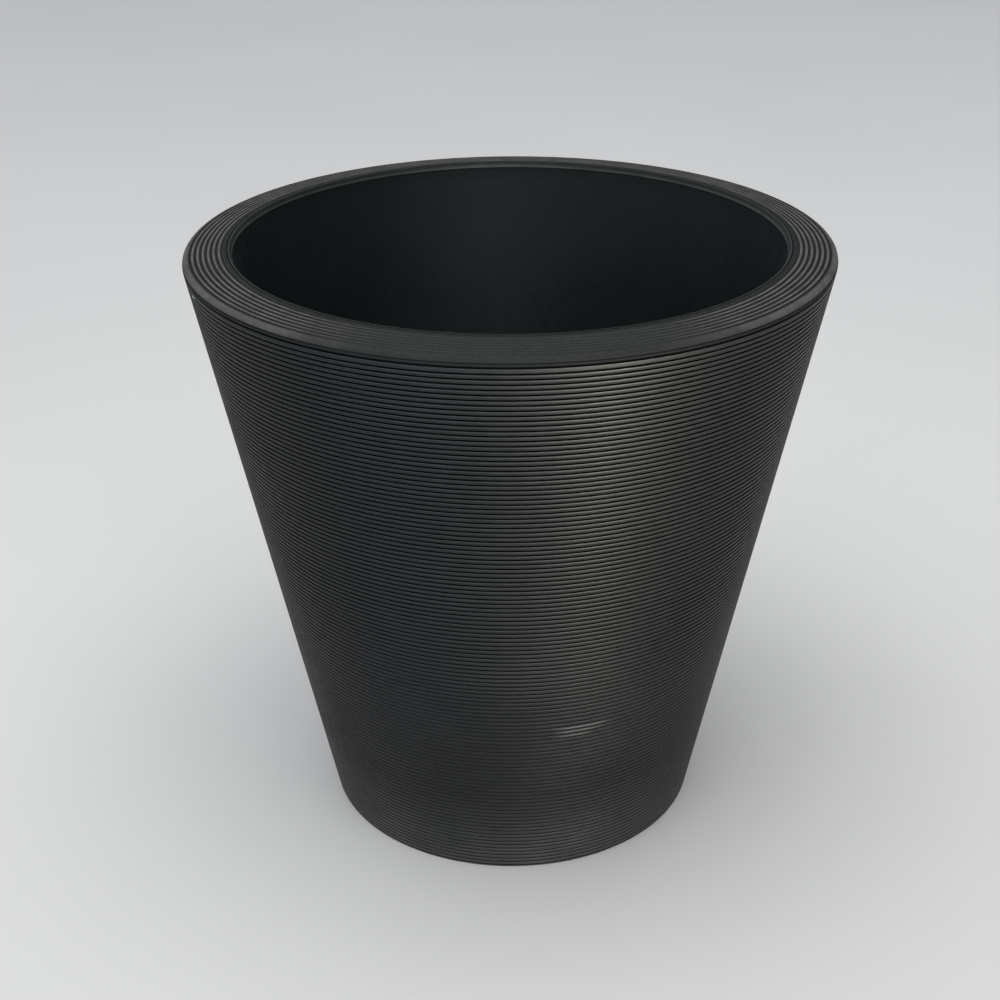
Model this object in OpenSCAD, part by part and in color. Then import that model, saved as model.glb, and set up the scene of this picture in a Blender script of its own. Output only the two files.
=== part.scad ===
// Round double-walled planter with a ribbed outside, a grooved rim and a smooth inside.
// Millimetres. +Z is up, and the origin is on the floor at the centre of the base.
// Three large mouldings make the body: a ribbed outer shell, a smooth inner liner and the
// rim ring that covers the gap between them. A threaded drain fitting clamps the two floors.

/* [Overall size] */
// Outer diameter of the rim
rim_d = 500; // [420:5:580]
// Height from the ground to the top of the lip
pot_h = 485; // [380:5:600]
// Outer diameter where the wall meets the ground
base_d = 311; // [260:1:340]
// Diameter of the mouth, inside the lip
mouth_d = 425; // [350:5:505]

/* [Ribs] */
// Distance from one rib to the next, on the wall and on the rim
rib_pitch = 4; // [3:0.5:8]
// Depth of the grooves between the ribs
groove_depth = 0.8; // [0.4:0.1:1.2]
// Width of the grooves where they open
groove_w = 1.5; // [0.8:0.1:2]

/* [Walls] */
// Thickness of the outer shell behind its grooves
shell_t = 4; // [3:0.5:6]
// Thickness of the inner liner
liner_t = 3; // [2.5:0.5:5]
// Thickness of the rim ring's top plate
ring_t = 3; // [2.5:0.5:4]
// Height of the shell's floor above the ground
floor_gap = 10; // [9:1:20]

/* [Rim] */
// Radius of the rounded outer edge of the rim
nose_r = 5.5; // [4:0.5:7]
// How far the top of the rim falls towards its outer edge
rim_fall = 3.1; // [0:0.1:5]
// Height of the open line between the rim and the outer wall
shadow_gap = 1.6; // [1:0.1:3]
// Number of screws that hold the liner to the rim ring
screw_count = 8; // [4:1:12]

/* [Drain] */
// Bore of the drain
drain_d = 20; // [16:1:26]
// How far the plug's shank reaches into the drain
plug_len = 17; // [12:1:20]

/* [Hidden] */

$fn = 144;
small_fn = 48;

mould_black = "#2b2c2e";
liner_black = "#1d1e20";
fitting_grey = "#3a3b3d";
rubber_black = "#151515";
screw_grey = "#9a9a96";

rim_r = rim_d / 2;
base_r = base_d / 2;
mouth_r = mouth_d / 2;
// Clearance between mouldings that slide into each other
fit_gap = 0.4;
edge = 0.5;

// The open line under the rim ends at the top of the outer wall
nose_x = rim_r - nose_r;
nose_z = pot_h - rim_fall - nose_r;
nose_low_a = 8;
skirt_z = nose_z - nose_r * sin(nose_low_a);
shell_top = skirt_z - shadow_gap;
// The rim stands barely proud of the wall below it
rim_proud = 0.2;
wall_slope = (rim_r - rim_proud - base_r) / shell_top;

// Radius of the outer wall over its ribs, and of its inner face
function crest(z) = base_r + wall_slope * z;
function shell_in(z) = crest(z) - groove_depth - shell_t;

// Outer shell. Its grooves run from under the rim down to the ground
foot_round = 1.2;
foot_w = 9;
top_groove_z = shell_top - rib_pitch;
groove_count = floor((top_groove_z - foot_round - groove_w / 2) / rib_pitch) + 1;
floor_t = 4;
floor_z = floor_gap + floor_t;
floor_fillet = 6;
foot_rib_count = 12;
foot_rib_t = 3;
foot_rib_lift = 3;
locator_h = 4;
locator_t = 2.5;

// Snap joint between the shell and the rim ring's spigot
spigot_len = 16;
spigot_t = 2.6;
snap_z = shell_top - 9;
snap_h = 0.8;
snap_half = 1;
snap_clear = 0.3;

// Inner liner
bead_t = 3;
bead_round = 0.8;
bead_h = 4.2;
bead_step = 0.8;
// The lip's inner face slopes, and looks this way: 90 is up and 180 is level, to the axis
lip_a = 148;
lip_corner_a = 210;
lip_corner_h = 1;
lip_top_w = 0.7;
liner_shoulder = pot_h - ring_t - 0.3;
liner_top_z = pot_h - bead_h - bead_step;
bed_t = 4;
bed_z = floor_z + bed_t;
bed_fall = 2;
bed_fillet = 14;
flange_z = pot_h - 14;
flange_t = 3;
flange_w = 19;

// Radius of the liner's inner face, which is parallel to the outer wall, and of its back
function liner_in(z) = mouth_r + bead_step - wall_slope * (liner_top_z - z);
function liner_out(z) = liner_in(z) + liner_t;

// Rim ring. The open line inside it parts it from the liner's lip
lip_gap = 0.6;
ring_in = mouth_r + bead_t + lip_gap;
ring_slope = rim_fall / (nose_x - ring_in);
rim_groove_r = nose_x - 0.4;
rim_groove_count = floor((rim_groove_r - ring_in - rib_pitch / 2) / rib_pitch) + 1;
nose_groove_a = 13;
nose_groove_half = 6;
nose_groove_depth = 0.45;
land_w = 2.6;

// Height of the ring's top face at radius r
function ring_top(r) = pot_h - ring_slope * (r - ring_in);

// Screws, driven up through the liner's flange into bosses under the ring
screw_r = liner_out(flange_z) + 11;
screw_d = 4;
screw_len = 10;
screw_hole_d = 4.6;
screw_head_d = 8;
screw_head_h = 2.4;
screw_recess_d = 2.4;
screw_recess_h = 1.2;
boss_d = 9;
boss_hole_d = 4.1;
boss_hole_h = screw_len - flange_t + 0.5;

// Drain fitting
bush_r = drain_d / 2 + 4.8;
bush_hole_r = bush_r + 0.3;
bush_flange_r = bush_r + 9;
bush_flange_t = 3;
bush_end_z = 2.5;
washer_t = 2;
washer_gap = 0.15;
nut_across = 44;
nut_h = 4.5;
nut_chamfer = 0.8;
thread_gap = 0.1;
bush_flange_z = bed_z + washer_t;
bush_top_z = bush_flange_z + bush_flange_t;
nut_z = floor_gap - washer_t - nut_h;
hub_r = nut_across / 2 / cos(30) + 1;

// Plug
plug_gap = 0.05;
plug_r = drain_d / 2 - plug_gap;
plug_head_r = plug_r + 6;
plug_head_t = 3.5;
plug_tip = 2;
tab_w = 16;
tab_t = 5;
tab_h = 12;
tab_hole_d = 7;

// Points on an arc, from angle a0 to a1, in n steps
function arc(cx, cy, r, a0, a1, n) = [
    for (i = [0 : n])
        let (a = a0 + (a1 - a0) * i / n)
        [cx + r * cos(a), cy + r * sin(a)]
];

// One groove in the outer wall, upwards, and one in the top of the rim, outwards
function wall_groove(z) = [
    [crest(z - groove_w / 2), z - groove_w / 2],
    [crest(z) - groove_depth, z],
    [crest(z + groove_w / 2), z + groove_w / 2]
];
function rim_groove(r) = [
    [r - groove_w / 2, ring_top(r - groove_w / 2)],
    [r, ring_top(r) - groove_depth],
    [r + groove_w / 2, ring_top(r + groove_w / 2)]
];

module shell_profile() {
    seat_r = liner_out(floor_z) + fit_gap;
    fillet_z = floor_z + floor_fillet;
    polygon(concat(
        [
            [bush_hole_r, floor_gap],
            [base_r - foot_w, floor_gap],
            [base_r - foot_w, 0]
        ],
        arc(base_r - foot_round, foot_round, foot_round, -90, 0, 5),
        [for (k = [groove_count - 1 : -1 : 0]) each wall_groove(top_groove_z - k * rib_pitch)],
        [
            [crest(shell_top - edge), shell_top - edge],
            [crest(shell_top) - edge, shell_top],
            [shell_in(shell_top), shell_top],
            [shell_in(snap_z + 2 * snap_half), snap_z + 2 * snap_half],
            [shell_in(snap_z) + snap_h + snap_clear, snap_z + snap_half],
            [shell_in(snap_z) + snap_h + snap_clear, snap_z - snap_half],
            [shell_in(snap_z - 2 * snap_half), snap_z - 2 * snap_half]
        ],
        arc(shell_in(fillet_z) - floor_fillet, fillet_z, floor_fillet, 0, -90, 6),
        [
            [seat_r + locator_t, floor_z],
            [seat_r + locator_t, floor_z + locator_h],
            [seat_r + wall_slope * locator_h, floor_z + locator_h],
            [seat_r, floor_z],
            [bush_hole_r, floor_z]
        ]
    ));
}

module foot_ribs() {
    for (i = [0 : foot_rib_count - 1])
        rotate([0, 0, 360 / foot_rib_count * (i + 0.5)])
            translate([hub_r + foot_rib_t / 2, -foot_rib_t / 2, foot_rib_lift])
                cube([base_r - foot_w / 2 - hub_r, foot_rib_t, floor_gap - foot_rib_lift + 1]);
    rotate_extrude()
        translate([hub_r, foot_rib_lift])
            square([foot_rib_t, floor_gap - foot_rib_lift + 1]);
}

module outer_shell() {
    color(mould_black)
    union() {
        rotate_extrude()
            shell_profile();
        foot_ribs();
    }
}

module liner_profile() {
    fillet_z = bed_z + bed_fall + bed_fillet;
    polygon(concat(
        [
            [bush_hole_r, floor_z],
            [liner_out(floor_z), floor_z],
            [liner_out(flange_z), flange_z],
            [liner_out(flange_z) + flange_w, flange_z],
            [liner_out(flange_z) + flange_w, flange_z + flange_t],
            [liner_out(flange_z + flange_t), flange_z + flange_t],
            [liner_out(liner_shoulder), liner_shoulder],
            [mouth_r + bead_t, liner_shoulder],
            [mouth_r + bead_t, pot_h - edge / 2],
            [mouth_r + bead_t - edge / 2, pot_h]
        ],
        arc(mouth_r + bead_t - lip_top_w, pot_h - bead_round, bead_round, 90, lip_a, 4),
        arc(mouth_r + bead_round, pot_h - bead_h + lip_corner_h, bead_round,
            lip_a, lip_corner_a, 4),
        [[mouth_r + bead_step, liner_top_z]],
        arc(liner_in(fillet_z) - bed_fillet, fillet_z, bed_fillet, 0, -90, 8),
        [
            [bush_flange_r + edge, bed_z],
            [bush_hole_r, bed_z]
        ]
    ));
}

module at_screws() {
    for (i = [0 : screw_count - 1])
        rotate([0, 0, 360 / screw_count * (i + 0.5)])
            translate([screw_r, 0, flange_z])
                children();
}

module inner_liner() {
    color(liner_black)
    difference() {
        rotate_extrude()
            liner_profile();
        at_screws()
            translate([0, 0, -1])
                cylinder(d = screw_hole_d, h = flange_t + 2, $fn = small_fn);
    }
}

module ring_profile() {
    top_a = 90 - atan(ring_slope);
    groove_high_a = nose_groove_a + nose_groove_half;
    groove_low_a = nose_groove_a - nose_groove_half;
    spigot_z = shell_top - spigot_len;
    polygon(concat(
        [
            [ring_in, ring_top(ring_in) - ring_t],
            [ring_in, pot_h - edge],
            [ring_in + edge, ring_top(ring_in + edge)]
        ],
        [for (k = [rim_groove_count - 1 : -1 : 0]) each rim_groove(rim_groove_r - k * rib_pitch)],
        arc(nose_x, nose_z, nose_r, top_a - 5, groove_high_a, 7),
        arc(nose_x, nose_z, nose_r - nose_groove_depth, nose_groove_a, nose_groove_a, 1),
        arc(nose_x, nose_z, nose_r, groove_low_a, -nose_low_a, 2),
        [
            [shell_in(shell_top) + land_w, skirt_z],
            [shell_in(shell_top) + land_w, shell_top],
            [shell_in(shell_top) - fit_gap, shell_top],
            [shell_in(snap_z + 2 * snap_half) - fit_gap, snap_z + 2 * snap_half],
            [shell_in(snap_z) + snap_h, snap_z + snap_half / 2],
            [shell_in(snap_z) + snap_h, snap_z - snap_half / 2],
            [shell_in(snap_z - 2 * snap_half) - fit_gap, snap_z - 2 * snap_half],
            [shell_in(spigot_z) - fit_gap, spigot_z],
            [shell_in(spigot_z) - fit_gap - spigot_t, spigot_z],
            [shell_in(shell_top) - fit_gap - spigot_t, shell_top],
            [shell_in(shell_top) - fit_gap - spigot_t, ring_top(shell_in(shell_top)) - ring_t]
        ]
    ));
}

module rim_ring() {
    color(mould_black)
    difference() {
        union() {
            rotate_extrude()
                ring_profile();
            at_screws()
                translate([0, 0, flange_t])
                    cylinder(d = boss_d, h = ring_top(screw_r) - ring_t / 2 - flange_z - flange_t,
                        $fn = small_fn);
        }
        at_screws()
            translate([0, 0, flange_t - 1])
                cylinder(d = boss_hole_d, h = boss_hole_h + 1, $fn = small_fn);
    }
}

module screw() {
    difference() {
        union() {
            translate([0, 0, -screw_head_h])
                cylinder(d = screw_head_d, h = screw_head_h, $fn = small_fn);
            cylinder(d = screw_d, h = screw_len, $fn = small_fn);
        }
        for (a = [0, 90])
            rotate([0, 0, a])
                translate([-screw_head_d / 4, -screw_recess_d / 4, -screw_head_h - 1])
                    cube([screw_head_d / 2, screw_recess_d / 2, screw_recess_h + 1]);
    }
}

module rim_screws() {
    color(screw_grey)
    at_screws()
        screw();
}

module drain_bush() {
    color(fitting_grey)
    rotate_extrude($fn = small_fn * 2)
        polygon([
            [drain_d / 2, bush_end_z],
            [bush_r - edge, bush_end_z],
            [bush_r, bush_end_z + edge],
            [bush_r, bush_flange_z],
            [bush_flange_r, bush_flange_z],
            [bush_flange_r, bush_top_z - edge],
            [bush_flange_r - edge, bush_top_z],
            [drain_d / 2, bush_top_z]
        ]);
}

module washer(z) {
    rotate_extrude($fn = small_fn * 2)
        translate([bush_r + washer_gap, z])
            square([bush_flange_r - bush_r - washer_gap - edge, washer_t]);
}

module drain_washers() {
    color(rubber_black) {
        washer(bed_z);
        washer(floor_gap - washer_t);
    }
}

module drain_nut() {
    color(fitting_grey)
    translate([0, 0, nut_z])
        difference() {
            intersection() {
                cylinder(r = nut_across / 2 / cos(30), h = nut_h, $fn = 6);
                rotate_extrude($fn = small_fn * 2)
                    polygon([
                        [0, 0],
                        [nut_across / 2, 0],
                        [nut_across / 2 / cos(30), 2 * nut_chamfer],
                        [nut_across / 2 / cos(30), nut_h],
                        [0, nut_h]
                    ]);
            }
            translate([0, 0, -1])
                cylinder(r = bush_r + thread_gap, h = nut_h + 2, $fn = small_fn * 2);
        }
}

module plug_tab() {
    rotate([90, 0, 0])
        translate([0, 0, -tab_t / 2])
            linear_extrude(tab_t)
                difference() {
                    union() {
                        translate([-tab_w / 2, -1])
                            square([tab_w, tab_h - tab_w / 2 + 1]);
                        translate([0, tab_h - tab_w / 2])
                            circle(d = tab_w, $fn = small_fn);
                    }
                    translate([0, tab_h - tab_w / 2])
                        circle(d = tab_hole_d, $fn = small_fn);
                }
}

module drain_plug() {
    color(rubber_black)
    translate([0, 0, bush_top_z])
        union() {
            rotate_extrude($fn = small_fn * 2)
                polygon([
                    [0, -plug_len],
                    [plug_r - plug_tip, -plug_len],
                    [plug_r, -plug_len + 2 * plug_tip],
                    [plug_r, 0],
                    [plug_head_r, 0],
                    [plug_head_r, plug_head_t - 1],
                    [plug_head_r - 1, plug_head_t],
                    [0, plug_head_t]
                ]);
            translate([0, 0, plug_head_t])
                plug_tab();
        }
}

outer_shell();
inner_liner();
rim_ring();
rim_screws();
drain_bush();
drain_washers();
drain_nut();
drain_plug();
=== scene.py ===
import math

import bpy
import bmesh
from mathutils import Matrix, Vector, noise


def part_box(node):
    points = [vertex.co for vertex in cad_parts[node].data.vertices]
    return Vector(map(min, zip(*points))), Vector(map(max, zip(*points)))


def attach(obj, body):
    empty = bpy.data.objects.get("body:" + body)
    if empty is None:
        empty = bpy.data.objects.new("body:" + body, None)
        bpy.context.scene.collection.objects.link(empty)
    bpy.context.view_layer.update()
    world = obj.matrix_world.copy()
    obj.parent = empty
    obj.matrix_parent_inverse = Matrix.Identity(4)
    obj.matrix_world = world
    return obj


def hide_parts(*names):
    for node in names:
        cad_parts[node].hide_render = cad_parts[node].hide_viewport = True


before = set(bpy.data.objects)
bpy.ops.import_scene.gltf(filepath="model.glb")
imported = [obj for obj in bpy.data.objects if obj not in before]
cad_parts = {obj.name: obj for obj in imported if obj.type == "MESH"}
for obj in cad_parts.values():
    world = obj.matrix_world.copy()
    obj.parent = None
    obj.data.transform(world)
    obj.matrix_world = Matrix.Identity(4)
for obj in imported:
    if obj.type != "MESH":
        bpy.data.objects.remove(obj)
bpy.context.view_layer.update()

# Everything below is in millimetres until it becomes a vertex
MM = 0.001
TAU = 2 * math.pi


def mm_box(node):
    """The low and high corners of a CAD node's box, in millimetres."""
    low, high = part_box(node)
    return low / MM, high / MM


plug_low, plug_high = mm_box("drain_plug")

# ---------------------------------------------------------------------------
# Sizes. The overall ones come from the CAD parts' boxes, the rest are the part's own
# ---------------------------------------------------------------------------
RIM_R = mm_box("rim_ring")[1].x
POT_H = mm_box("inner_liner")[1].z
SHELL_TOP = mm_box("outer_shell")[1].z
BASE_R = 155.5
MOUTH_R = 212.5

RIB_PITCH = 4.0
GROOVE_DEPTH = 0.8
GROOVE_TOP_Z = SHELL_TOP - RIB_PITCH
GROOVE_COUNT = 118
SHELL_T = 4.0
LINER_T = 3.0
RING_T = 3.0
EDGE = 0.5

# The rim's rounded outer edge, which ends this many degrees below level
NOSE_R = 5.5
NOSE_LOW_A = 8
RIM_FALL = 3.1
RIM_PROUD = 0.2
NOSE_X = RIM_R - NOSE_R
NOSE_Z = POT_H - RIM_FALL - NOSE_R
SKIRT_Z = NOSE_Z - NOSE_R * math.sin(math.radians(NOSE_LOW_A))
SLOPE = (RIM_R - RIM_PROUD - BASE_R) / SHELL_TOP

FLOOR_GAP = 10.0
FLOOR_Z = 14.0
FOOT_W = 9.0
HUB_IN = 26.4
HUB_OUT = HUB_IN + 3.0
# Height of the lower edge of the ribs under the floor
RIB_LIFT = 3.0
FOOT_RIBS = 12
FOOT_RIB_HALF = 1.5

BEAD_T = 3.0
BEAD_ROUND = 0.8
BEAD_H = 4.2
BEAD_STEP = 0.8
# The lip's inner face looks this way: 90 is up and 180 is level, to the axis
LIP_A = 148
LIP_TOP_W = 0.7
BED_Z = 18.0
BED_FALL = 2.0
BED_FILLET = 14.0
FLANGE_Z = POT_H - 14
FLANGE_T = 3.0
FLANGE_W = 19.0
HOLE_R = 15.1
RING_IN = MOUTH_R + BEAD_T + 0.6

SNAP_Z = SHELL_TOP - 9
SNAP_H = 0.8
# Half the height of the snap ridge, with its slopes
SNAP_HALF = 2
# Clearances of the snap and between mouldings
SNAP_PLAY = 0.3
FIT_GAP = 0.4
SPIGOT_LEN = 16.0
SPIGOT_T = 2.6
# Width of the ledge that the rim rests on
LAND_W = 2.6


def crest(z):
    """Radius of the outer wall over its ribs."""
    return BASE_R + SLOPE * z


def shell_in(z):
    return crest(z) - GROOVE_DEPTH - SHELL_T


def liner_in(z):
    return MOUTH_R + BEAD_STEP - SLOPE * (POT_H - BEAD_H - BEAD_STEP - z)


def liner_out(z):
    return liner_in(z) + LINER_T


RING_SLOPE = RIM_FALL / (NOSE_X - RING_IN)


def ring_top(r):
    return POT_H - RING_SLOPE * (r - RING_IN)


# ---------------------------------------------------------------------------
# Profile and mesh tools
# ---------------------------------------------------------------------------
ON_AXIS = 1e-6


def rounded(corners, steps=3):
    """A closed outline of (r, z, radius) corners as points, each corner turned into an arc."""
    out = []
    count = len(corners)
    for i, (r, z, radius) in enumerate(corners):
        here = Vector((r, z))
        before = Vector(corners[i - 1][:2]) - here
        after = Vector(corners[(i + 1) % count][:2]) - here
        if radius <= 0:
            out.append((r, z))
            continue
        half = before.angle(after) / 2
        reach = radius / math.tan(half)
        reach = min(reach, 0.45 * before.length, 0.45 * after.length)
        a = here + before.normalized() * reach
        b = here + after.normalized() * reach
        for s in range(steps + 1):
            t = s / steps
            p = a * (1 - t) ** 2 + here * (2 * t * (1 - t)) + b * t * t
            out.append((p.x, p.y))
    return out


def supported(points, span=60.0, near=0.5, long=4.0):
    """Adds points close to the ends of an outline's long straight runs, and every span between
    them, so that flat faces shade flat."""
    out = []
    for start, end in zip(points, points[1:]):
        a, b = Vector(start), Vector(end)
        out.append((a.x, a.y))
        length = (b - a).length
        if length > long:
            d = (b - a) / length
            inner = length - 2 * near
            parts = max(1, math.ceil(inner / span))
            for s in range(parts + 1):
                p = a + d * (near + inner * s / parts)
                out.append((p.x, p.y))
    out.append(points[-1])
    return out


def revolve(name, outline, segments):
    """outline(angle) gives the closed outline there: (r, z) or (r, z, painted light) points. The
    painted light is above 0 where the surface is made pale as a painted highlight, and below 0
    where it is darkened as painted shade in grooves and gaps."""
    bm = bmesh.new()
    painted_light = bm.verts.layers.float.new("painted_light")
    angles = [TAU * j / segments for j in range(segments)]
    rings = []
    for places in zip(*(outline(a) for a in angles)):
        if places[0][0] < ON_AXIS:
            rings.append([bm.verts.new((0, 0, places[0][1] * MM))])
            continue
        ring = []
        for a, (r, z, *painted_light_amount) in zip(angles, places):
            ring.append(bm.verts.new((r * math.cos(a) * MM, r * math.sin(a) * MM, z * MM)))
            ring[-1][painted_light] = painted_light_amount[0] if painted_light_amount else 0.0
        rings.append(ring)
    for k in range(len(rings)):
        one, two = rings[k], rings[(k + 1) % len(rings)]
        if len(one) == 1 and len(two) == 1:
            continue
        for j in range(segments):
            n = (j + 1) % segments
            if len(one) == 1:
                bm.faces.new((one[0], two[n], two[j]))
            elif len(two) == 1:
                bm.faces.new((one[j], one[n], two[0]))
            else:
                bm.faces.new((one[j], one[n], two[n], two[j]))
    return finished(name, bm)


def finished(name, bm):
    """The smooth-shaded object of a bmesh, without loose vertices."""
    loose = [v for v in bm.verts if not v.link_faces]
    bmesh.ops.delete(bm, geom=loose, context="VERTS")
    for f in bm.faces:
        f.smooth = True
    mesh = bpy.data.meshes.new(name)
    bm.to_mesh(mesh)
    bm.free()
    obj = bpy.data.objects.new(name, mesh)
    bpy.context.scene.collection.objects.link(obj)
    return obj


def smooth_share(x, low, high):
    """0 below low and 1 above high, with a smooth step between."""
    t = min(1.0, max(0.0, (x - low) / (high - low)))
    return t * t * (3 - 2 * t)


# ---------------------------------------------------------------------------
# Outer shell
# ---------------------------------------------------------------------------
SHELL_SEGMENTS = 108
# One groove and the slightly crowned rib above it: (distance along the wall, share of the depth)
GROOVE = [(-0.95, 0.05), (-0.6, 0.2), (-0.42, 1.0), (0.42, 1.0), (0.6, 0.2), (0.95, 0.05)]
RIB_CREST = (2.0, 0.0)
# The faces of each groove that get the groove's own material, which is painted shade
GROOVE_FACES = (1, 2, 3)
SEAT_RING_T = 2.5
SEAT_RING_H = 4


def groove_share(z, angle):
    """The grooves are shallower low on the wall, where the mould is rubbed down."""
    low = smooth_share(z, 130, 250)
    foot = 0.3 * (1 - smooth_share(z, 20, 70))
    patch = noise.noise(Vector((2.2 * math.cos(angle), 2.2 * math.sin(angle), z / 60)))
    return min(1.0, 0.2 + 0.8 * low + foot + 0.2 * patch * (1 - low))


def shell_outline():
    """The shell's foot, its grooved wall as (r, z, share of the groove's depth), and the rest
    over the top and down the inside."""
    seat = liner_out(FLOOR_Z) + FIT_GAP
    foot_in = BASE_R - FOOT_W
    foot = [
        (foot_in, RIB_LIFT - 1),
        (foot_in, 0.4),
        (foot_in + 0.4, 0),
        (BASE_R - 2.0, 0),
        (BASE_R - 1.2, 0),
        (BASE_R - 0.6, 0.16),
        (BASE_R - 0.16, 0.6),
    ]
    notch = shell_in(SNAP_Z) + SNAP_H + SNAP_PLAY
    wall = []
    for k in range(GROOVE_COUNT - 1, -1, -1):
        z = GROOVE_TOP_Z - k * RIB_PITCH
        for u, share in GROOVE + [RIB_CREST]:
            wall.append((crest(z + u), z + u, share))
    top = supported(rounded([
        (crest(SHELL_TOP), SHELL_TOP, EDGE),
        (shell_in(SHELL_TOP), SHELL_TOP, 0.3),
        (shell_in(SNAP_Z + SNAP_HALF), SNAP_Z + SNAP_HALF, 0),
        (notch, SNAP_Z + 1, 0),
        (notch, SNAP_Z - 1, 0),
        (shell_in(SNAP_Z - SNAP_HALF), SNAP_Z - SNAP_HALF, 0),
        (shell_in(FLOOR_Z), FLOOR_Z, 6),
        (seat + SEAT_RING_T, FLOOR_Z, 0.3),
        (seat + SEAT_RING_T, FLOOR_Z + SEAT_RING_H, 0.4),
        (seat + SLOPE * SEAT_RING_H, FLOOR_Z + SEAT_RING_H, 0.4),
        (seat, FLOOR_Z, 0.3),
        (HOLE_R, FLOOR_Z, 0.3),
    ]))
    return foot, wall, top


def build_shell():
    bm = bmesh.new()
    n = SHELL_SEGMENTS
    sector = n // FOOT_RIBS
    foot_in = BASE_R - FOOT_W
    foot, wall, top = shell_outline()

    def from_rib(j):
        """Segments from the middle of the nearest rib under the floor to j."""
        return (j + sector // 2) % sector - sector // 2

    def ring(r, z, share=None, beside_rib=False):
        verts = []
        for j in range(n):
            a = TAU * j / n
            near = from_rib(j)
            if beside_rib and abs(near) == 1:
                step = TAU / n
                a += (math.asin(FOOT_RIB_HALF / r) - step) * near
            rr = r
            if share is not None:
                rr -= GROOVE_DEPTH * share * groove_share(z, a)
            verts.append(bm.verts.new((rr * math.cos(a) * MM, rr * math.sin(a) * MM, z * MM)))
        return verts

    hole = ring(HOLE_R, FLOOR_GAP)
    hub_top = ring(HUB_IN, FLOOR_GAP)
    hub_low = ring(HUB_IN, RIB_LIFT)
    rib_a = ring(HUB_OUT, RIB_LIFT, beside_rib=True)
    floor_a = ring(HUB_OUT, FLOOR_GAP, beside_rib=True)
    floor_b = ring(foot_in, FLOOR_GAP, beside_rib=True)
    rib_b = ring(foot_in, RIB_LIFT, beside_rib=True)
    outer = [ring(r, z) for r, z in foot]
    outer += [ring(r, z, share) for r, z, share in wall]
    outer += [ring(r, z) for r, z in top]

    def band(one, two, keep=lambda j: True, slot=0):
        for j in range(n):
            if keep(j):
                m = (j + 1) % n
                bm.faces.new((one[j], one[m], two[m], two[j])).material_index = slot

    def in_rib(j):
        return from_rib(j) in (-1, 0)

    def beside(j):
        return not in_rib(j)

    band(hole, hub_top)
    band(hub_top, hub_low)
    band(hub_low, rib_a)
    band(rib_a, floor_a, beside)
    band(floor_a, floor_b, beside)
    band(floor_b, rib_b, beside)
    band(rib_a, rib_b, in_rib)
    for j in range(0, n, sector):
        for side in (-1, 1):
            m = (j + side) % n
            wall_face = (rib_a[m], floor_a[m], floor_b[m], rib_b[m])
            bm.faces.new(wall_face if side == 1 else wall_face[::-1])
    band(rib_b, outer[0])
    for k, (one, two) in enumerate(zip(outer, outer[1:])):
        place = (k - len(foot)) % (len(GROOVE) + 1)
        in_groove = len(foot) <= k < len(foot) + len(wall) and place in GROOVE_FACES
        band(one, two, slot=1 if in_groove else 0)
    band(outer[-1], hole)
    return finished("outer_shell_moulding", bm)


# ---------------------------------------------------------------------------
# Rim ring
# ---------------------------------------------------------------------------
RIM_SEGMENTS = 240
RIM_GROOVE_DEPTH = 0.6
# One groove of the rim, wider and softer than those of the wall
RIM_GROOVE = [(-1.4, 0.06), (-0.9, 0.5), (-0.4, 1.0), (0.4, 1.0), (0.9, 0.5), (1.4, 0.06)]
RIM_GROOVE_COUNT = 7
RIM_GROOVES = [NOSE_X - 0.4 - RIB_PITCH * k for k in range(RIM_GROOVE_COUNT - 1, -1, -1)]
# The share of the grooves' depth, and of their painted shade and highlight, that is left at the
# very front
WORN_CLEAR = 0.12
# How pale the ridges beside the grooves and the rounded edge are made, as a painted highlight
RIDGE_HIGHLIGHT = 0.7
NOSE_HIGHLIGHT = 0.6
NOSE_GROOVE_DEPTH = 0.45


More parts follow.
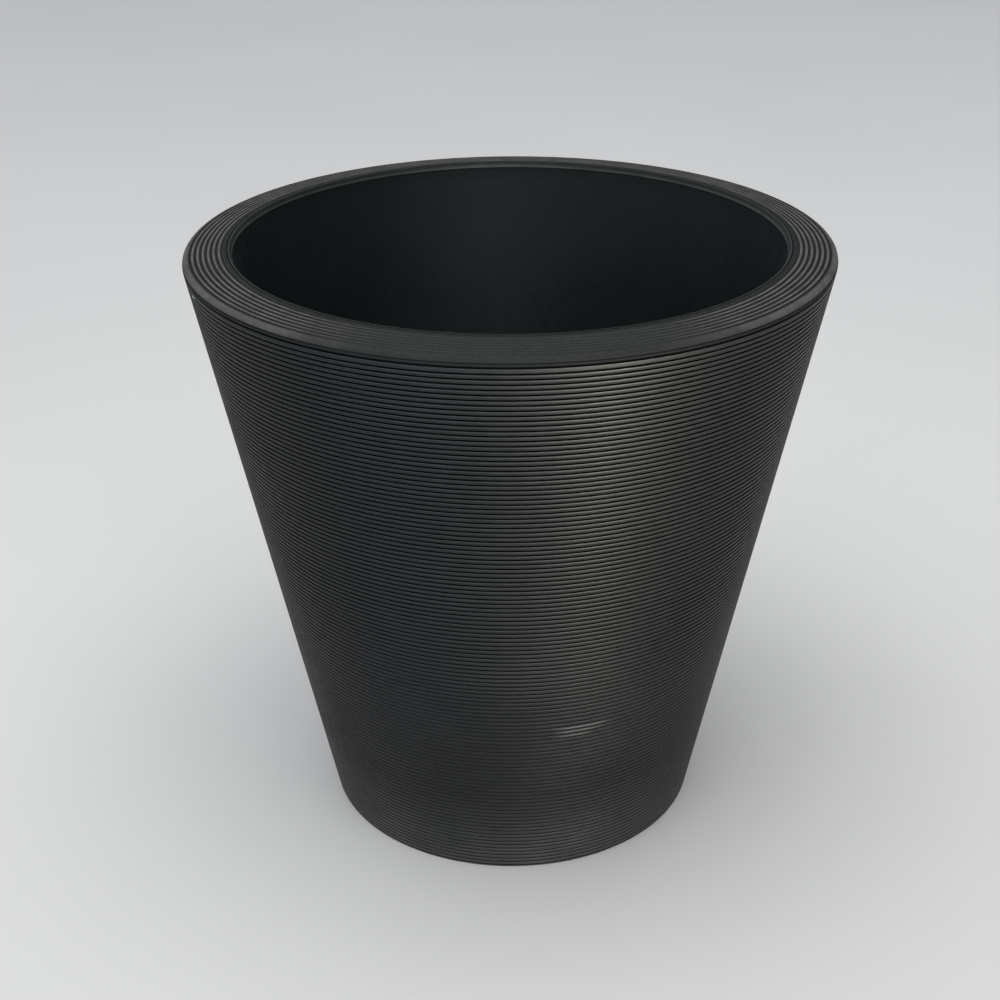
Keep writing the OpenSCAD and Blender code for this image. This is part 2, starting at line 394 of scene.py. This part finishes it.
def ring_outline(angle):
    """The rim at one angle. Its grooves are nearly rubbed away along the front."""
    clear = WORN_CLEAR + (1 - WORN_CLEAR) * smooth_share(1 + math.sin(angle), 0.04, 0.3)
    # Listed outwards over the top, round the edge and back underneath
    top = [
        (RING_IN, ring_top(RING_IN) - RING_T),
        # The inner edge and the strip beside it are darkened: painted shade in the gap by the lip
        (RING_IN, POT_H - 1.2, -1),
        (RING_IN, POT_H - 0.5, -1),
        (RING_IN + 0.15, POT_H - 0.15, -1),
        (RING_IN + 0.5, ring_top(RING_IN + 0.5), -0.6),
        (RING_IN + 2.6, ring_top(RING_IN + 2.6), -0.5),
    ]
    # Each groove is darkened with painted shade, and the ridges between are made pale as a painted
    # highlight
    for r in RIM_GROOVES:
        for u, share in RIM_GROOVE:
            top.append((r + u, ring_top(r + u) - RIM_GROOVE_DEPTH * clear * share,
                        clear * (RIDGE_HIGHLIGHT if share < 0.1 else -share)))
    # The rounded edge, with one shallow groove in it: (degrees, depth, painted light). The groove
    # is darkened as painted shade and the rounded part made pale as a painted highlight
    top_a = 90 - math.degrees(math.atan(RING_SLOPE)) - 8
    edge = [(top_a, 0, 0.0)]
    edge += [(a, 0, NOSE_HIGHLIGHT * clear) for a in (70, 58, 46, 34, 24)]
    edge += [(19, 0, 0.0)]
    edge += [(a, NOSE_GROOVE_DEPTH, -1) for a in (15, 11)]
    edge += [(a, 0, 0.0) for a in (7, 3, -2, -NOSE_LOW_A)]
    nose = []
    for a, depth, painted_light_amount in edge:
        turn = math.radians(a)
        r = NOSE_R - depth
        nose.append((NOSE_X + r * math.cos(turn), NOSE_Z + r * math.sin(turn), painted_light_amount))
    land = shell_in(SHELL_TOP) + LAND_W
    inner_top = shell_in(SHELL_TOP) - FIT_GAP
    snap_r = shell_in(SNAP_Z) + SNAP_H
    spigot_z = SHELL_TOP - SPIGOT_LEN
    spigot_r = shell_in(spigot_z) - FIT_GAP
    under = [
        (nose[-1][0] - 0.4, SKIRT_Z),
        (nose[-1][0] - 1.2, SKIRT_Z),
        (land, SKIRT_Z),
        (land, SHELL_TOP),
        (inner_top, SHELL_TOP),
        (shell_in(SNAP_Z + SNAP_HALF) - FIT_GAP, SNAP_Z + SNAP_HALF),
        (snap_r, SNAP_Z + 0.5),
        (snap_r, SNAP_Z - 0.5),
        (shell_in(SNAP_Z - SNAP_HALF) - FIT_GAP, SNAP_Z - SNAP_HALF),
        (spigot_r, spigot_z),
        (spigot_r - SPIGOT_T, spigot_z),
        (inner_top - SPIGOT_T, SHELL_TOP),
        (inner_top - SPIGOT_T, ring_top(shell_in(SHELL_TOP)) - RING_T),
    ]
    # The faces point outwards only with the outline the other way round
    return (top + nose + under)[::-1]


# ---------------------------------------------------------------------------
# Inner liner
# ---------------------------------------------------------------------------
LINER_SEGMENTS = 192
# Painted light round the lip's two rounded corners: the upper has a painted highlight at its top
# and painted shade below it, and the lower has a painted highlight
LIP_TOP_LIGHT = (0.5, 0.2, -0.6, -1.0, -0.6)
LIP_LOW_HIGHLIGHT = (0.7, 1.0, 1.0, 0.6, 0.2)
WALL_ROWS = 12
FILLET_STEPS = 10


def liner_outline(_angle):
    """The liner, which is the same at every angle: up its back, over the lip and down inside."""
    shoulder = POT_H - RING_T - 0.3
    lip_r = MOUTH_R + BEAD_T
    bead = []
    for centre_r, centre_z, start, end, painted_light in (
            (lip_r - LIP_TOP_W, POT_H - BEAD_ROUND, 90, LIP_A, LIP_TOP_LIGHT),
            (MOUTH_R + BEAD_ROUND, POT_H - BEAD_H, LIP_A, 178, LIP_LOW_HIGHLIGHT)):
        for s, painted_light_amount in enumerate(painted_light):
            a = math.radians(start + (end - start) * s / (len(painted_light) - 1))
            bead.append((centre_r + BEAD_ROUND * math.cos(a),
                         centre_z + BEAD_ROUND * math.sin(a), painted_light_amount))
    # Two rows on the flat between the corners
    high, low = bead[4], bead[5]
    for share in (0.75, 0.25):
        bead.insert(-5, tuple(h * share + w * (1 - share) for h, w in zip(high, low)))
    fillet_z = BED_Z + BED_FALL + BED_FILLET
    fillet = []
    for s in range(FILLET_STEPS + 1):
        a = math.radians(-90 * s / FILLET_STEPS)
        fillet.append((liner_in(fillet_z) - BED_FILLET + BED_FILLET * math.cos(a),
                       fillet_z + BED_FILLET * math.sin(a)))
    step_z = POT_H - BEAD_H - BEAD_STEP
    low, high = fillet_z + 1, step_z - 12
    heights = [high + (low - high) * s / WALL_ROWS for s in range(WALL_ROWS)] + [low]
    inside = [(MOUTH_R + 0.03, step_z), (MOUTH_R - 0.05, step_z - 1)]
    inside += [(liner_in(z), z) for z in heights]
    bed_r = fillet[-1][0]
    bed = [
        (bed_r - 4, BED_Z + BED_FALL - 0.06),
        (bed_r - 30, BED_Z + BED_FALL * 0.72),
        (60, BED_Z + BED_FALL * 0.3),
        (28, BED_Z + 0.05),
        (24.4, BED_Z),
        (HOLE_R + 0.3, BED_Z),
        (HOLE_R, BED_Z - 0.3),
    ]
    flange_r = liner_out(FLANGE_Z) + FLANGE_W
    back = supported(rounded([
        (HOLE_R, FLOOR_Z, 0.3),
        (liner_out(FLOOR_Z), FLOOR_Z, 1.5),
        (liner_out(FLANGE_Z), FLANGE_Z, 0.5),
        (flange_r, FLANGE_Z, 0.4),
        (flange_r, FLANGE_Z + FLANGE_T, 0.4),
        (liner_out(FLANGE_Z + FLANGE_T), FLANGE_Z + FLANGE_T, 0.4),
        (liner_out(shoulder), shoulder, 0),
        (lip_r, shoulder, 0),
    ]))
    # The lip's outer face beside the rim is darkened: painted shade in the gap
    lip = [
        (lip_r, POT_H - 1.0, -1),
        (lip_r, POT_H - 0.25, -1),
        (lip_r - 0.07, POT_H - 0.07, -1),
        (lip_r - 0.25, POT_H, -0.3),
    ]
    return back + lip + bead + inside + fillet + bed


# ---------------------------------------------------------------------------
# Drain plug
# ---------------------------------------------------------------------------
PLUG_SEGMENTS = 96
PLUG_TOP = mm_box("drain_bush")[1].z
PLUG_R = 9.95
# The taper at the plug's lower end
LEAD_W = 2
LEAD_H = 4
HEAD_R = plug_high.x
HEAD_T = 3.5
TAB_HALF_W = 8.0
TAB_HALF_T = 2.5
TAB_HOLE_R = 3.5
TAB_EYE_Z = plug_high.z - TAB_HALF_W
TAB_STEPS = 48
TAB_BEVEL = 0.8
TAB_FLARE = 1.4


def build_plug():
    head_top = PLUG_TOP + HEAD_T
    body = supported(rounded([
        (PLUG_R - LEAD_W, plug_low.z, 0.6),
        (PLUG_R, plug_low.z + LEAD_H, 0.8),
        (PLUG_R, PLUG_TOP, 0.2),
        (HEAD_R, PLUG_TOP, 0.5),
        (HEAD_R, head_top, 1.2),
        (TAB_HALF_W + 2.5, head_top, 0),
    ]), span=8)
    outline = [(0, plug_low.z)] + body + [(0, head_top)]
    return revolve("plug_moulding", lambda angle: outline, PLUG_SEGMENTS)


def build_tab():
    """The pull tab: an upright eye with rounded edges, flared where it grows out of the head."""
    bm = bmesh.new()
    foot_z = PLUG_TOP + HEAD_T - 1
    # Half of the loops across the tab's thickness, from its middle: (inset, y)
    half_loops = [
        (0, TAB_HALF_T - TAB_BEVEL),
        (0.25 * TAB_BEVEL, TAB_HALF_T - 0.3 * TAB_BEVEL),
        (TAB_BEVEL, TAB_HALF_T),
    ]
    loops = [(inset, -y) for inset, y in half_loops[::-1]] + half_loops

    def outer_point(i, inset):
        a = math.pi * 1.5 - TAU * (i / TAB_STEPS)
        x, z = math.cos(a), math.sin(a)
        if z >= 0:
            return (TAB_HALF_W - inset) * x, TAB_EYE_Z + (TAB_HALF_W - inset) * z
        # Below the eye the circle becomes a square, which spreads towards the head
        scale = 1 / max(abs(x), abs(z))
        sx = x * scale
        sz = z * scale
        spread = TAB_FLARE * max(0.0, -sz) ** 6
        return (TAB_HALF_W - inset + spread) * sx, TAB_EYE_Z + (TAB_EYE_Z - foot_z) * sz

    def inner_point(i, inset):
        a = math.pi * 1.5 - TAU * i / TAB_STEPS
        return (TAB_HOLE_R + inset) * math.cos(a), TAB_EYE_Z + (TAB_HOLE_R + inset) * math.sin(a)

    def loop(point, inset, y):
        places = [point(i, inset) for i in range(TAB_STEPS)]
        return [bm.verts.new((x * MM, y * MM, z * MM)) for x, z in places]

    outer = []
    inner = []
    for inset, y in loops:
        outer.append(loop(outer_point, inset, y))
        inner.append(loop(inner_point, inset, y))
    for k in range(len(loops) - 1):
        for i in range(TAB_STEPS):
            m = (i + 1) % TAB_STEPS
            bm.faces.new((outer[k][i], outer[k][m], outer[k + 1][m], outer[k + 1][i]))
            bm.faces.new((inner[k + 1][i], inner[k + 1][m], inner[k][m], inner[k][i]))
    for i in range(TAB_STEPS):
        m = (i + 1) % TAB_STEPS
        bm.faces.new((outer[-1][i], outer[-1][m], inner[-1][m], inner[-1][i]))
        bm.faces.new((inner[0][i], inner[0][m], outer[0][m], outer[0][i]))
    bmesh.ops.recalc_face_normals(bm, faces=bm.faces)
    return finished("plug_tab", bm)


def build_flash(name, angle, r, z, size):
    """A small burr of moulding flash: a lumpy ball with half sizes (outwards, along, up)."""
    bm = bmesh.new()
    bmesh.ops.create_icosphere(bm, subdivisions=3, radius=1.0)
    for v in bm.verts:
        lump = 1 + 0.3 * noise.noise(v.co * 1.7 + Vector((angle, r, z)))
        v.co = Vector([c * half * lump * MM for c, half in zip(v.co, size)])
    obj = finished(name, bm)
    obj.data.transform(Matrix.Rotation(angle, 4, "Z") @ Matrix.Translation((r * MM, 0, z * MM)))
    return obj


# ---------------------------------------------------------------------------
# Materials
# ---------------------------------------------------------------------------
class Nodes:
    """Short names for making a material's nodes."""

    def __init__(self, name):
        self.material = bpy.data.materials.new(name)
        self.material.use_nodes = True
        self.tree = self.material.node_tree
        self.tree.nodes.clear()
        self.out = self.new("ShaderNodeOutputMaterial")
        self.shader = self.new("ShaderNodeBsdfPrincipled")
        self.link(self.shader.outputs["BSDF"], self.out.inputs["Surface"])
        self.place = self.new("ShaderNodeTexCoord").outputs["Object"]

    def new(self, kind, **values):
        node = self.tree.nodes.new(kind)
        for key, value in values.items():
            setattr(node, key, value)
        return node

    def link(self, a, b):
        self.tree.links.new(a, b)

    def feed(self, socket, value):
        if isinstance(value, bpy.types.NodeSocket):
            self.link(value, socket)
        else:
            socket.default_value = value

    def math(self, kind, a, b=0.0, clamp=False):
        node = self.new("ShaderNodeMath", operation=kind, use_clamp=clamp)
        for socket, value in zip(node.inputs, (a, b)):
            self.feed(socket, value)
        return node.outputs[0]

    def product(self, a, b):
        return self.math("MULTIPLY", a, b)

    def total(self, a, b):
        """The sum, kept between 0 and 1."""
        return self.math("ADD", a, b, clamp=True)

    def axis(self, vector, index):
        node = self.new("ShaderNodeSeparateXYZ")
        self.link(vector, node.inputs[0])
        return node.outputs[index]

    def stretched(self, scale):
        node = self.new("ShaderNodeMapping")
        self.link(self.place, node.inputs["Vector"])
        node.inputs["Scale"].default_value = scale
        return node.outputs[0]

    def noise(self, scale, detail=3.0, rough=0.55, vector=None, distortion=0.0):
        node = self.new("ShaderNodeTexNoise")
        self.link(vector or self.place, node.inputs["Vector"])
        node.inputs["Scale"].default_value = scale
        node.inputs["Detail"].default_value = detail
        node.inputs["Roughness"].default_value = rough
        node.inputs["Distortion"].default_value = distortion
        return node.outputs[0]

    def ranged(self, value, low, high, out_low=0.0, out_high=1.0):
        node = self.new("ShaderNodeMapRange")
        for key, v in zip(("Value", "From Min", "From Max", "To Min", "To Max"),
                          (value, low, high, out_low, out_high)):
            self.feed(node.inputs[key], v)
        return node.outputs[0]

    def spread(self, value, out_low=0.0, out_high=1.0):
        """The usual range of a noise, stretched to the one given."""
        return self.ranged(value, 0.3, 0.7, out_low, out_high)

    def around(self, point, reach):
        """1 at a point in metres, falling to 0 at reach (x, y, z) from it."""
        node = self.new("ShaderNodeMapping")
        self.link(self.place, node.inputs["Vector"])
        node.inputs["Scale"].default_value = [1 / r for r in reach]
        node.inputs["Location"].default_value = [-p / r for p, r in zip(point, reach)]
        length = self.new("ShaderNodeVectorMath", operation="LENGTH")
        self.link(node.outputs[0], length.inputs[0])
        return self.ranged(length.outputs["Value"], 0.4, 1.0, 1.0, 0.0)

    def mix(self, share, a, b):
        node = self.new("ShaderNodeMix", data_type="RGBA")
        self.feed(node.inputs["Factor"], share)
        self.feed(node.inputs["A"], a)
        self.feed(node.inputs["B"], b)
        return [s for s in node.outputs if s.type == "RGBA"][0]

    def bump(self, height, distance, normal=None):
        node = self.new("ShaderNodeBump")
        node.inputs["Strength"].default_value = 1.0
        node.inputs["Distance"].default_value = distance
        self.link(height, node.inputs["Height"])
        if normal is not None:
            self.link(normal, node.inputs["Normal"])
        return node.outputs[0]

    def finish(self, colour=None, roughness=None, normal=None):
        for key, socket in (("Base Color", colour), ("Roughness", roughness), ("Normal", normal)):
            if socket is not None:
                self.link(socket, self.shader.inputs[key])
        return self.material

    def constant(self, key, value):
        self.shader.inputs[key].default_value = value


def grey(level, blue=1.0, red=1.0):
    return (level * red, level, level * blue, 1.0)


# Colour of dust, scuffs, painted highlights and painted sheen, and how much rougher they make the
# plastic
PALE_DUST_AND_SHEEN = grey(0.42, 0.94, 1.03)
PALE_ROUGHER = 0.3
HOLLOW_ROUGHER = 0.45


def moulded_plastic(name, level, roughness, dust_and_sheen=0.35, streaks=0.0, specular=0.5,
                    painted_light_amount=0.0, foot_paling=0.0, scuffs=(), blue=1.05, red=0.9):
    """Matt black polyethylene: mould grain, cloudy colour and faint handling marks. Dust lies in
    pale specks and, with painted sheen, as a pale film on up-facing faces; painted shade and
    highlights come from the mesh's vertex attribute.
    """
    n = Nodes(name)
    cloud = n.noise(7.0, 4.0)
    blotch = n.noise(38.0, 3.0, distortion=0.4)
    tone = n.math("ADD", n.spread(cloud, -0.18, 0.18), n.spread(blotch, -0.1, 0.1))
    if streaks:
        rows = n.noise(1.0, 2.0, vector=n.stretched((9, 9, 240)))
        tone = n.math("ADD", tone, n.spread(rows, -streaks, streaks))
    dark = n.mix(n.total(tone, 0.5), grey(level * 0.72, 1.1 * blue, 0.97 * red),
                 grey(level * 1.3, blue, red))
    # A pale film of Dust and painted sheen lies where the surface faces up; sparse pale specks are
    # Dust
    upwards = n.axis(n.new("ShaderNodeNewGeometry").outputs["Normal"], 2)
    dust_and_sheen_film = n.product(n.ranged(upwards, 0.1, 0.95), n.ranged(n.noise(900.0, 2.0), 0.35, 0.75))
    cells = n.new("ShaderNodeTexVoronoi")
    n.link(n.place, cells.inputs["Vector"])
    cells.inputs["Scale"].default_value = 34.0
    speck = n.product(n.ranged(cells.outputs["Distance"], 0.016, 0.03, 1.0, 0.0),
                      n.ranged(n.noise(13.0, 1.0), 0.56, 0.66))
    pale = n.total(n.product(dust_and_sheen_film, dust_and_sheen * 0.06), n.product(speck, dust_and_sheen))
    painted_shade = 0.0
    # The vertex attribute paints shade below 0, darker and rougher, and pale highlights above 0
    if painted_light_amount:
        painted_light = n.new("ShaderNodeAttribute", attribute_name="painted_light").outputs["Fac"]
        painted_shade = n.math("MULTIPLY", painted_light, -1.0, clamp=True)
        dark = n.mix(n.product(painted_shade, 0.6), dark, grey(level * 0.2))
        highlight_patches = n.ranged(n.noise(55.0, 5.0, 0.65), 0.32, 0.62, 0.45, 1.0)
        pale = n.total(pale, n.product(n.product(n.math("MAXIMUM", painted_light, 0.0), highlight_patches), painted_light_amount))
    height = n.axis(n.place, 2)
    # Paler towards the foot
    if foot_paling:
        near = n.product(n.ranged(height, 0.0, 0.08, 1.0, 0.0),
                         n.spread(n.noise(24.0, 4.0), 0.6, 1.2))
        pale = n.total(pale, n.product(near, foot_paling))
    if scuffs:
        # Scuffs lie along the crests of the ribs
        crests = n.math("COSINE", n.product(height, TAU / (RIB_PITCH * MM)))
        lines = n.ranged(n.noise(1.0, 3.0, 0.6, vector=n.stretched((14, 14, 260))), 0.26, 0.5)
        lines = n.product(lines, n.ranged(crests, 0.2, 0.95))
        for point, reach, strength in scuffs:
            pale = n.total(pale, n.product(n.product(n.around(point, reach), lines), strength))
    rough = n.math("ADD", n.spread(cloud, roughness - 0.05, roughness + 0.05),
                   n.spread(n.noise(140.0, 3.0), -0.05, 0.05))
    rough = n.math("ADD", rough, n.product(painted_shade, HOLLOW_ROUGHER))
    peel = n.bump(n.noise(160.0, 2.0), 0.00008)
    n.constant("Specular IOR Level", specular)
    return n.finish(n.mix(pale, dark, PALE_DUST_AND_SHEEN), n.total(rough, n.product(pale, PALE_ROUGHER)),
                    n.bump(n.noise(2600.0, 2.0), 0.00003, peel))


def groove_plastic(name):
    """Inside the grooves: dull, and painted shade that is darker high on the wall, where they are
    deep.
    """
    n = Nodes(name)
    height = n.math("ADD", n.axis(n.place, 2), n.spread(n.noise(9.0), -0.03, 0.03))
    tone = n.mix(n.ranged(height, 0.14, 0.27, 1.0, 0.0), grey(0.002), grey(0.022, 1.06))
    n.constant("Specular IOR Level", 0.0)
    return n.finish(n.mix(n.ranged(n.noise(26.0), 0.5, 0.9, 0.0, 0.4), tone, grey(0.02, 0.97)),
                    n.spread(n.noise(300.0), 0.7, 0.9), n.bump(n.noise(1800.0, 2.0), 0.00004))


def rubber(name):
    """Black rubber with a pale bloom in patches."""
    n = Nodes(name)
    bloom = n.ranged(n.noise(25.0, 5.0, 0.7), 0.5, 0.75)
    return n.finish(n.mix(n.product(bloom, 0.25), grey(0.012), grey(0.06, 0.95)),
                    n.spread(n.noise(60.0, 4.0), 0.55, 0.8), n.bump(n.noise(1500.0, 3.0), 0.00004))


def fitting(name):
    """The dark grey plastic of the drain's fittings, smoother than the mouldings."""
    n = Nodes(name)
    return n.finish(n.mix(n.spread(n.noise(45.0, 4.0)), grey(0.028, 1.04), grey(0.046, 1.02)),
                    n.spread(n.noise(220.0, 3.0), 0.34, 0.5), n.bump(n.noise(1900.0, 2.0), 0.00002))


def zinc(name):
    """Zinc-plated steel with dull stains."""
    n = Nodes(name)
    spangle = n.noise(420.0, 3.0)
    stain = n.ranged(n.noise(150.0, 4.0, 0.7), 0.5, 0.7)
    base = n.mix(n.spread(spangle), grey(0.48, 1.02), grey(0.62, 1.0, 1.01))
    n.constant("Metallic", 1.0)
    return n.finish(n.mix(n.product(stain, 0.35), base, grey(0.3, 0.8, 1.1)),
                    n.spread(spangle, 0.28, 0.46),
                    n.bump(n.noise(1200.0, 2.0, vector=n.stretched((1, 1, 6))), 0.00002))


def floor_paint(name):
    """The pale floor, with no sheen, so that no light glares in it."""
    n = Nodes(name)
    n.constant("Roughness", 0.75)
    n.constant("Specular IOR Level", 0.0)
    return n.finish(n.mix(n.spread(n.noise(1.3, 3.0)),
                          (0.735, 0.73, 0.725, 1), (0.765, 0.76, 0.755, 1)))


def give(obj, material):
    """Puts the material in the object's first slot."""
    if obj.data.materials:
        obj.data.materials[0] = material
    else:
        obj.data.materials.append(material)


# ---------------------------------------------------------------------------
# Pieces
# ---------------------------------------------------------------------------
# (middle, reach each way, strength), in metres: three scuffed ribs low at the front right, and
# three broad faint patches
SCUFFS = [
    ((0.0543, -0.1776, 0.152), (0.026, 0.02, 0.0022), 0.6),
    ((0.0525, -0.1773, 0.148), (0.022, 0.02, 0.002), 0.55),
    ((0.0476, -0.1776, 0.144), (0.016, 0.02, 0.002), 0.5),
    ((-0.11, -0.16, 0.09), (0.06, 0.06, 0.03), 0.03),
    ((0.02, -0.2, 0.21), (0.09, 0.05, 0.03), 0.03),
    ((0.14, 0.12, 0.12), (0.09, 0.08, 0.03), 0.1),
]
shell_black = moulded_plastic("outer_plastic_black", 0.0032, 0.5, streaks=0.2, specular=0.2,
                              foot_paling=0.13, scuffs=SCUFFS, blue=1.14, red=0.75)
# The grooves' material is painted shade
groove_painted_shade = groove_plastic("outer_plastic_grooves")
# On the rim the pale film is strong: painted sheen on its top
ring_black = moulded_plastic("rim_plastic_black", 0.0195, 0.66, dust_and_sheen=0.9, specular=0.05,
                             painted_light_amount=0.33, blue=0.98)
liner_black = moulded_plastic("liner_plastic_black", 0.0085, 0.5, dust_and_sheen=0.25, specular=0.22,
                              painted_light_amount=0.15, red=0.55)

shell = build_shell()
give(shell, shell_black)
shell.data.materials.append(groove_painted_shade)
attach(shell, "planter")
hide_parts("outer_shell")

ring = revolve("rim_moulding", ring_outline, RIM_SEGMENTS)
give(ring, ring_black)
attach(ring, "planter")
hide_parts("rim_ring")

liner = revolve("liner_moulding", liner_outline, LINER_SEGMENTS)
give(liner, liner_black)
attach(liner, "planter")
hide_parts("inner_liner")

plug_rubber = rubber("plug_rubber")
plug = build_plug()
give(plug, plug_rubber)
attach(plug, "plug")
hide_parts("drain_plug")
tab = build_tab()
give(tab, plug_rubber)
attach(tab, "plug")

pale_flash = moulded_plastic("flash_plastic", 0.22, 0.5, dust_and_sheen=0.3, specular=0.3, red=1.0)
# Name, degrees round from +X, radius, height, half sizes, material and slot
for name, degrees, r, z, size, material, slot in (
        ("rim_flash", 203, 248.7, 470.5, (0.9, 3.2, 1.1), pale_flash, "rim_plastic"),
        ("foot_flash", -72.5, 154.6, 1.2, (1.2, 2.0, 1.1), ring_black, "outer_plastic"),
        ("lip_burr", -101, 213.4, 484.6, (0.4, 3.5, 0.3), ring_black, "liner_plastic")):
    flash = build_flash(name, math.radians(degrees), r, z, size)
    give(flash, material)
    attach(flash, "planter")

fitting_grey = fitting("fitting_grey")
screw_zinc = zinc("screw_zinc")
for node, material in (("drain_bush", fitting_grey), ("drain_nut", fitting_grey),
                       ("drain_washers", plug_rubber), ("rim_screws", screw_zinc)):
    give(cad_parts[node], material)

# ---------------------------------------------------------------------------
# Floor, light and camera
# ---------------------------------------------------------------------------
FLOOR_HALF = 30.0
# Strength of the sky at the far left and the far right
SKY_LEFT, SKY_RIGHT = 0.93, 0.37

floor_mesh = bpy.data.meshes.new("floor")
floor_mesh.from_pydata([(x * FLOOR_HALF, y * FLOOR_HALF, 0)
                        for x, y in ((-1, -1), (1, -1), (1, 1), (-1, 1))], [], [(0, 1, 2, 3)])
floor = bpy.data.objects.new("floor", floor_mesh)
bpy.context.scene.collection.objects.link(floor)
give(floor, floor_paint("floor_paint"))

world = bpy.data.worlds.new("studio")
world.use_nodes = True
tree = world.node_tree
sky = tree.nodes["Background"]
sky.inputs["Color"].default_value = (0.93, 0.96, 1.0, 1)
across = tree.nodes.new("ShaderNodeSeparateXYZ")
tree.links.new(tree.nodes.new("ShaderNodeTexCoord").outputs["Generated"], across.inputs[0])
level = tree.nodes.new("ShaderNodeMapRange")
tree.links.new(across.outputs["X"], level.inputs["Value"])
for key, value in (("From Min", -1.0), ("From Max", 1.0),
                   ("To Min", SKY_LEFT), ("To Max", SKY_RIGHT)):
    level.inputs[key].default_value = value
tree.links.new(level.outputs[0], sky.inputs["Strength"])
bpy.context.scene.world = world


def area_light(name, place, target, size, power, colour, sheen_only):
    """A soft light that the camera doesn't see. One for sheen only shows in the gloss alone."""
    data = bpy.data.lights.new(name, "AREA")
    data.shape = "RECTANGLE"
    data.size, data.size_y = size
    data.energy = power
    data.color = colour
    obj = bpy.data.objects.new(name, data)
    obj.location = place
    obj.rotation_euler = (Vector(target) - Vector(place)).to_track_quat("-Z", "Y").to_euler()
    obj.visible_diffuse = not sheen_only
    obj.visible_camera = False
    bpy.context.scene.collection.objects.link(obj)


# Name, place, target, size, watts, colour, and whether it is for sheen only
for light in (
        ("top_soft", (0.0, -0.6, 3.0), (0, -0.2, 0.2), (2.6, 2.6), 48, (1.0, 0.99, 0.96), False),
        ("right_window", (0.74, -1.3, 0.2), (0, 0, 0.25), (0.1, 0.4), 84, (1.0, 0.96, 0.84), True),
        ("left_soft", (-0.95, -2.0, 0.2), (0, 0, 0.25), (3.0, 0.4), 74, (0.62, 0.83, 1.0), True),
        ("front_high", (0.3, -1.7, 1.9), (0, 0, 0.45), (0.8, 0.8), 29, (0.94, 1.0, 0.98), True)):
    area_light(*light)

# The photo's camera, in metres and radians
CAMERA_AT = (-0.002, -1.2512, 0.8772)
PITCH, ROLL, YAW = 0.46013, -0.0077, -0.0056
LENS = 60.46
ahead = Vector((math.sin(YAW) * math.cos(PITCH), math.cos(YAW) * math.cos(PITCH),
                -math.sin(PITCH)))
level_right = Vector((math.cos(YAW), -math.sin(YAW), 0))
level_up = level_right.cross(ahead)
right = level_right * math.cos(ROLL) + level_up * math.sin(ROLL)
up = level_up * math.cos(ROLL) - level_right * math.sin(ROLL)
camera_data = bpy.data.cameras.new("camera")
camera_data.lens = LENS
camera_data.sensor_width = 36
camera = bpy.data.objects.new("camera", camera_data)
bpy.context.scene.collection.objects.link(camera)
facing = Matrix((right, up, -ahead)).transposed().to_4x4()
camera.matrix_world = Matrix.Translation(CAMERA_AT) @ facing
bpy.context.scene.camera = camera
bpy.context.scene.view_settings.view_transform = "Standard"
